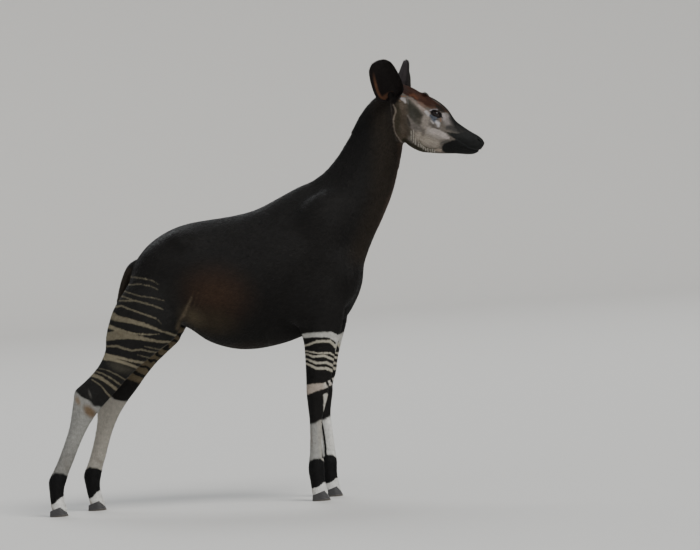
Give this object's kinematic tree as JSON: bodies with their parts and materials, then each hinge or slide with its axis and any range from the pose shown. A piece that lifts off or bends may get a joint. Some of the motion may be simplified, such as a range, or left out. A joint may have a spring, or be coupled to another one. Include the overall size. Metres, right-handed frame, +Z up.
{
  "type": "okapi",
  "caption": "Life-size standing okapi, an adult female with long neck, large cupped ears, sloping back and cloven hooves, parted into head, neck, torso, legs and tail",
  "frame": {"origin": "centre of the bounding box at floor level, under the middle of the body", "axes": "+X from tail to nose, +Y to the animal's left side, +Z up"},
  "size_m": [2.2414, 0.4936, 2.1123],
  "materials": {
    "coat_dark": "short dense near-black chocolate coat",
    "coat_face": "short pale grey-cream coat with a chestnut forehead and a black muzzle",
    "coat_leg": "short cream coat with black bands",
    "eye": "wet dark gloss",
    "horn": "dull grey horn with growth rings"
  },
  "bodies": {
    "root": {"torso": "coat_dark", "neck": "coat_dark", "head": "coat_face", "tail": "coat_dark", "foreleg_right": "coat_leg", "foreleg_left": "coat_leg", "hindleg_right": "coat_leg", "hindleg_left": "coat_leg", "ear_right": "coat_dark", "ear_left": "coat_dark", "eye_right": "eye", "eye_left": "eye", "hoof_fore_right_outer": "horn", "hoof_fore_right_inner": "horn", "hoof_fore_left_outer": "horn", "hoof_fore_left_inner": "horn", "hoof_hind_right_outer": "horn", "hoof_hind_right_inner": "horn", "hoof_hind_left_outer": "horn", "hoof_hind_left_inner": "horn"}
  },
  "joints": []
}
